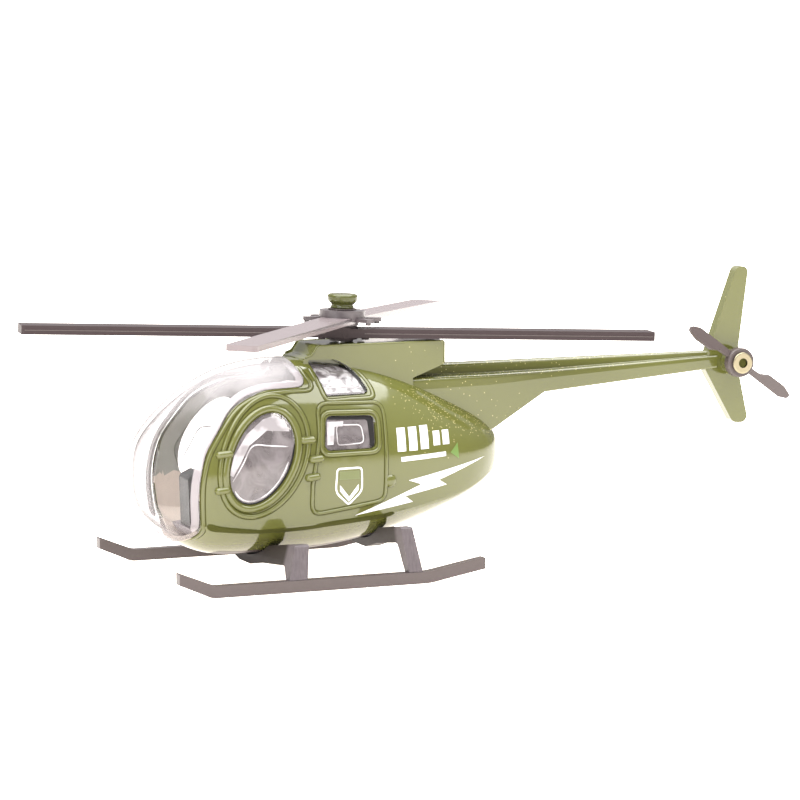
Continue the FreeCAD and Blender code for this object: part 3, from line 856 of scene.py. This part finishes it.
CANOPY_LIP = [
    (12.1, 42.0), (11.4, 40.2), (10.8, 38.4), (11.6, 37.4), (15.5, 37.25), (20.6, 36.9), (24.5, 35.6),
    (27.6, 33.4), (30.6, 29.6), (33.0, 25.8), (34.2, 21.6), (34.5, 17.4), (34.2, 13.0), (33.9, 10.4),
    (35.0, 8.2),
]
bead("canopy_lip", smooth_path(CANOPY_LIP), False, 0.8, 0.22)

# The flange is a real ridge on the windscreen; its near-white colour is painted glare.
FLANGE_GLARE = [
    (13.9, 42.0), (13.0, 40.2), (12.9, 39.1), (14.0, 38.6), (17.0, 38.5), (21.2, 38.2), (25.3, 36.9),
    (28.8, 34.4), (31.8, 30.4), (34.3, 26.4), (35.6, 21.8), (36.0, 17.4), (35.7, 13.2), (35.6, 10.6),
]
ridge("windscreen_flange_glare", smooth_path(FLANGE_GLARE), False, 1.6, 0.12, "flange")

ROOF_RIM = [
    (9.9, 41.3), (9.4, 39.2), (8.9, 37.0), (8.4, 35.6), (7.4, 35.2), (3.0, 35.3), (-1.2, 35.3),
    (-2.1, 35.7), (-2.1, 37.0), (-1.4, 38.8), (-0.4, 40.3), (0.8, 41.2),
]
bead("roof_window_rim", smooth_path(ROOF_RIM), False, 0.8, 0.25)

CREASE = [
    (33.6, 12.5), (31.6, 11.4), (25.5, 10.7), (19.4, 10.5), (13.3, 10.7), (8.4, 11.2),
    (-1.7, 11.9), (-6.0, 12.4),
]
# The crease is drawn as a dark line: painted shade in the groove.
drawn_line("crease_groove_shade", smooth_path(CREASE, 0.4), False, 1.5, "line")

COWL_EDGE_Y = 5.4
COWL_EDGE_RADIUS = 0.2
COWL_EDGE = [
    (9.9, 42.9), (8.7, 43.3), (8.2, 43.8), (7.5, 44.9), (7.0, 45.15), (-19.6, 45.15), (-19.85, 44.9),
    (-19.85, 40.8),
]
for side in BOTH_SIDES:
    edge = [(x, COWL_EDGE_Y * side, z) for x, z in COWL_EDGE]
    tube(f"cowl_edge_{SIDE_NAMES[side]}", edge, COWL_EDGE_RADIUS, "enamel")


# ---------------------------------------------------------------- panes
# Painted highlights on the bevelled corners and moulded ridges, and painted shade in the dark gap behind the
# casting.

def part_of(path, start, end):
    """Part of a path, between two shares of its length."""
    return path[round(len(path) * start):round(len(path) * end)]


# Painted highlight: a bright patch where the oval pane's bevel catches the light.
OVAL_BEVEL_HIGHLIGHT = [
    (29.3, 22.0), (28.3, 25.6), (25.5, 29.6), (22.0, 32.3), (19.8, 32.9), (17.6, 31.9), (16.9, 29.9),
    (21.5, 30.2), (25.2, 27.5), (28.6, 21.6),
]
patch("oval_bevel_highlight", OVAL_BEVEL_HIGHLIGHT, "bevel")
# Bright lines along the oval pane's moulded fold and inner edge: painted highlights.
OVAL_FOLD = [(28.8, 20.5), (26.6, 24.0), (24.5, 27.4), (21.0, 27.3), (17.1, 27.0)]
drawn_line("oval_fold", smooth_path(OVAL_FOLD, 0.4), False, 0.28, "glint")
OVAL_EDGE = ellipse_path(OVAL_CENTRE, 9.45, 5.85, OVAL_LEAN)
# Painted shade along the gap at the oval pane's rear and lower edge.
drawn_line("oval_gap_shade", part_of(OVAL_EDGE, 0.40, 0.86), False, 0.75, "gap")
OVAL_INSIDE = ellipse_path(OVAL_CENTRE, 8.7, 5.1, OVAL_LEAN)
drawn_line("oval_shine", part_of(OVAL_INSIDE, 0.42, 0.80), False, 0.35, "glint")

# Painted highlight: a bright patch on the rear pane's bevel.
REAR_BEVEL_HIGHLIGHT = [(8.9, 31.3), (9.2, 26.9), (7.9, 26.9), (7.4, 30.3), (5.6, 30.3), (5.4, 31.2)]
patch("rear_bevel_highlight", REAR_BEVEL_HIGHLIGHT, "bevel")
REAR_FRAME = [(7.0, 26.7, 0.5), (7.0, 30.6, 0.8), (1.6, 30.4, 0.8), (1.2, 26.9, 0.8)]
drawn_line("rear_frame", rounded_path(REAR_FRAME), True, 0.26, "glint")
# Painted shade in the gap above and beside the rear pane.
REAR_GAP_SHADE = [
    (8.8, 32.3), (-0.8, 31.9), (-1.1, 31.5), (-0.9, 26.1), (0.0, 26.1), (0.2, 31.0), (0.6, 31.3),
    (8.8, 31.7),
]
patch("rear_gap_shade", REAR_GAP_SHADE, "gap", lift=0.05)

# Painted reflection: a light, wrinkled patch over the roof pane.
ROOF_HIGHLIGHT = [(8.9, 40.9), (3.3, 40.9), (1.2, 40.0), (0.1, 38.4), (-0.8, 36.4), (8.0, 36.4)]
patch("roof_highlight", ROOF_HIGHLIGHT, "crumpled", lift=0.02)
# Painted shade in the gap at the roof pane's rear edge.
ROOF_GAP_SHADE = [
    (1.9, 41.1), (0.4, 40.2), (-0.5, 38.6), (-1.2, 36.3), (-0.6, 36.3), (0.1, 38.4), (1.2, 40.0), (2.4, 40.9),
]
patch("roof_gap_shade", ROOF_GAP_SHADE, "gap", lift=0.05)
ROOF_FOLD = [(7.6, 37.5), (3.6, 37.4), (-0.2, 37.2)]
drawn_line("roof_fold", smooth_path(ROOF_FOLD, 0.4), False, 0.25, "glint")


# ---------------------------------------------------------------- plain printed marks
# A shield, five bars, a line and a triangle.

SHIELD = [(7.4, 22.2, 0.6), (2.1, 22.2, 0.6), (2.0, 17.6, 2.2), (4.8, 15.0, 0.4), (7.7, 17.6, 2.2)]
drawn_line("shield_line", rounded_path(SHIELD, 0.25), True, 0.4, "white")
patch("shield_band", [(6.9, 21.7), (2.6, 21.7), (2.5, 20.0), (7.0, 20.0)], "faint")
CHEVRON = [(6.8, 19.0), (4.8, 16.6), (2.8, 19.0), (2.8, 17.8), (4.8, 15.6), (6.8, 17.8)]
patch("shield_chevron", CHEVRON, "white")

# Bars on the side: front edge, width, bottom and top.
BARS = [
    (-6.0, 1.9, 24.7, 29.3), (-8.7, 1.9, 24.7, 29.3), (-11.4, 1.9, 24.8, 29.4),
    (-14.5, 1.6, 25.3, 28.1), (-16.8, 1.6, 25.3, 28.1),
]
for index, (front, width, low, high) in enumerate(BARS):
    rear = front - width
    patch(f"side_bar_{index}", [(front, low), (rear, low), (rear, high), (front, high)], "white")
patch("side_line", [(-6.7, 23.6), (-17.4, 23.9), (-17.4, 23.0), (-6.8, 22.7)], "white")
patch("side_triangle", [(-18.6, 23.6), (-20.5, 25.4), (-20.7, 22.2)], "lime")


# ---------------------------------------------------------------- lower rotor bars

FOOT_Z = 47.1
LEAN = Matrix.Rotation(math.radians(0.57), 3, "X") @ Matrix.Rotation(math.radians(-1.9), 3, "Y")
BAR_START, BAR_END, BAR_SIDE_Y = 4, 63.4, 3.15
LINE_BOTTOM, LINE_TOP, LINE_DEPTH = 46.98, 47.16, 0.07
BOX_FACES = [(0, 1, 3, 2), (4, 6, 7, 5), (0, 4, 5, 1), (2, 3, 7, 6), (1, 5, 7, 3), (0, 2, 6, 4)]


def on_rotor(x, y, z, heading):
    """A point drawn on a rotor that lies along +X, turned and leaned as the rotor is."""
    turned = Matrix.Rotation(heading, 3, "Z") @ Vector((x, y, z - FOOT_Z))
    leaned = LEAN @ turned
    return place(leaned.x, leaned.y, leaned.z + FOOT_Z)


def parting_lines():
    """The moulding line halfway up each side of the lower bars."""
    spans = [(BAR_START, BAR_END), (-BAR_END, -BAR_START)]
    sides = [(span, y) for span in spans for y in (BAR_SIDE_Y, -BAR_SIDE_Y)]
    for index, (span, y) in enumerate(sides):
        depth = math.copysign(LINE_DEPTH, y)
        corners = [(x, y + d, z) for x in span for z in (LINE_BOTTOM, LINE_TOP) for d in (-depth, depth)]
        vertices = [on_rotor(*corner, LOWER_HEADING) for corner in corners]
        mesh_object(f"bar_parting_line_{index}", vertices, BOX_FACES, "dark", "lower_rotor", False)


parting_lines()

# Zigzag stripe along the lower side, pointed at both ends.
BOLT = [
    (3.3, 12.7), (-11.5, 17.9), (-8.5, 18.9), (-27.7, 21.9),
    (-15.7, 18.4), (-17.7, 17.3), (-7.8, 15.8), (-9.7, 14.5),
]
patch("side_stripe", BOLT, "white")


# ---------------------------------------------------------------- floor, light, camera

FLOOR_REACH = 12.0
FLOOR_DROP = 0.00002


def floor():
    """Pale paper that glows a little, so that it reads as plain white."""
    corners = [(-FLOOR_REACH, -FLOOR_REACH, 0), (FLOOR_REACH, -FLOOR_REACH, 0),
               (FLOOR_REACH, FLOOR_REACH, 0), (-FLOOR_REACH, FLOOR_REACH, 0)]
    mesh = bpy.data.meshes.new("floor")
    mesh.from_pydata(corners, [], [(0, 1, 2, 3)])
    material, _, shader = new_material("floor_paper")
    shader.inputs["Base Color"].default_value = (0.60, 0.60, 0.60, 1.0)
    shader.inputs["Roughness"].default_value = 1.0
    shader.inputs["Specular IOR Level"].default_value = 0.0
    shader.inputs["Emission Color"].default_value = (1.0, 0.90, 0.80, 1.0)
    shader.inputs["Emission Strength"].default_value = 1.9
    mesh.materials.append(material)
    made = bpy.data.objects.new("floor", mesh)
    made.location.z = -FLOOR_DROP
    bpy.context.scene.collection.objects.link(made)


def softbox(name, location, target, width, height, power):
    """A rectangular area light aimed at a target, all in metres and watts."""
    data = bpy.data.lights.new(name, "AREA")
    data.shape = "RECTANGLE"
    data.size = width
    data.size_y = height
    data.energy = power
    made = bpy.data.objects.new(name, data)
    made.location = location
    made.rotation_mode = "QUATERNION"
    made.rotation_quaternion = (Vector(target) - made.location).to_track_quat("-Z", "Y")
    bpy.context.scene.collection.objects.link(made)


CAMERA_PLACE = (287.2, 687.3, 127.2)
CAMERA_TARGET = (-12.7, 0.0, 32.95)
CAMERA_ROLL = 0.25
LENS = 170.23


def camera():
    """Long-lens camera a little above the toy, off its left front."""
    data = bpy.data.cameras.new("camera")
    data.sensor_width = 36.0
    data.lens = LENS
    data.clip_start = 0.02
    data.clip_end = 60.0
    made = bpy.data.objects.new("camera", data)
    made.location = place(*CAMERA_PLACE)
    aim = place(*CAMERA_TARGET) - made.location
    look = aim.to_track_quat("-Z", "Y").to_matrix().to_4x4()
    roll = Matrix.Rotation(math.radians(CAMERA_ROLL), 4, "Z")
    made.rotation_mode = "QUATERNION"
    made.rotation_quaternion = (look @ roll).to_quaternion()
    bpy.context.scene.collection.objects.link(made)
    bpy.context.scene.camera = made


def studio_world():
    """Soft surroundings: grey near the horizon, white overhead."""
    world = bpy.data.worlds.new("studio")
    world.use_nodes = True
    tree = world.node_tree
    coords = add(tree, "ShaderNodeTexCoord")
    direction = add(tree, "ShaderNodeSeparateXYZ")
    tree.links.new(coords.outputs["Generated"], direction.inputs[0])
    height = map_range(tree, direction.outputs[2], 0.10, 0.50, 0.0, 1.0)
    sky = mix_colour(tree, height, (0.50, 0.48, 0.48, 1.0), (1.20, 1.195, 1.19, 1.0))
    tree.links.new(sky, tree.nodes["Background"].inputs["Color"])
    bpy.context.scene.world = world


floor()
softbox("top_light", (0.0, 0.05, 0.75), (0.0, 0.0, 0.0), 1.3, 1.1, 34.0)
softbox("left_light", (0.75, 0.45, 0.35), (0.0, 0.0, 0.02), 0.6, 0.6, 5.0)
camera()
studio_world()
bpy.context.scene.view_settings.view_transform = "Standard"
